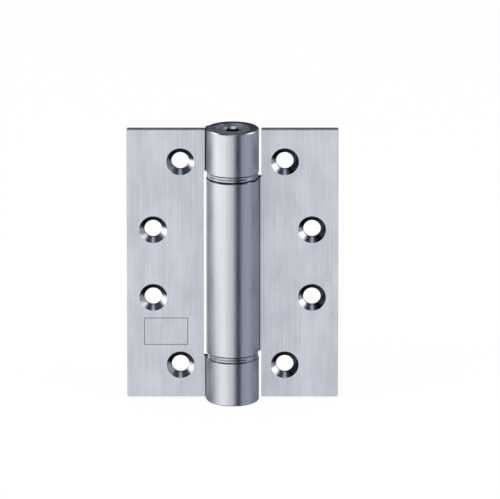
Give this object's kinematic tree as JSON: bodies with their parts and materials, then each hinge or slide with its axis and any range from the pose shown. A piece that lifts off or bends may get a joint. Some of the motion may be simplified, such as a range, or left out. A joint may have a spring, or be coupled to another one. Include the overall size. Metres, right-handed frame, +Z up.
{
  "type": "spring hinge",
  "caption": "Self-closing butt hinge in satin steel: flat leaves with countersunk screw holes, rolled round a fat barrel that holds a torsion spring, with a keyed tension plug on top.",
  "frame": {"origin": "on the pin axis at mid height, which is the centre of the hinge's box when it is laid open flat", "axes": "+Z up along the pin axis, +X across the leaves towards the door leaf, +Y towards the backs of the leaves"},
  "size_m": [0.0762, 0.019, 0.1016],
  "materials": {
    "satin_steel": "satin, fine brushing along the pin axis",
    "washer_steel": "ground bright",
    "turned_steel": "fine turned",
    "pin_steel": "drawn",
    "spring_wire": "oil tempered",
    "bush_nylon": "moulded nylon"
  },
  "bodies": {
    "frame_leaf": {"frame_leaf": "satin_steel", "upper_knuckle_washer": "washer_steel", "lower_knuckle_washer": "washer_steel", "lower_bush": "bush_nylon", "bottom_cap": "turned_steel"},
    "door_leaf": {"door_leaf": "satin_steel", "upper_barrel_washer": "washer_steel", "lower_barrel_washer": "washer_steel", "upper_bush": "bush_nylon", "anchor_plug": "turned_steel", "anchor_pin": "pin_steel", "torsion_spring": "spring_wire"},
    "adjuster": {"adjuster": "turned_steel", "tension_pin": "pin_steel"}
  },
  "joints": [
    {"name": "leaf_swing", "type": "hinge", "parent": "frame_leaf", "child": "door_leaf", "pos_m": [0, 0, 0], "axis": [0, 0, -1], "range_deg": [0, 180], "stiffness_Nm_per_rad": 0.85, "deforming": ["torsion_spring"]},
    {"name": "adjuster_turn", "type": "hinge", "parent": "frame_leaf", "child": "adjuster", "pos_m": [0, 0, 0.0393], "axis": [0, 0, -1], "range_deg": [0, 60], "stiffness_Nm_per_rad": 0.85, "deforming": ["torsion_spring"]}
  ]
}
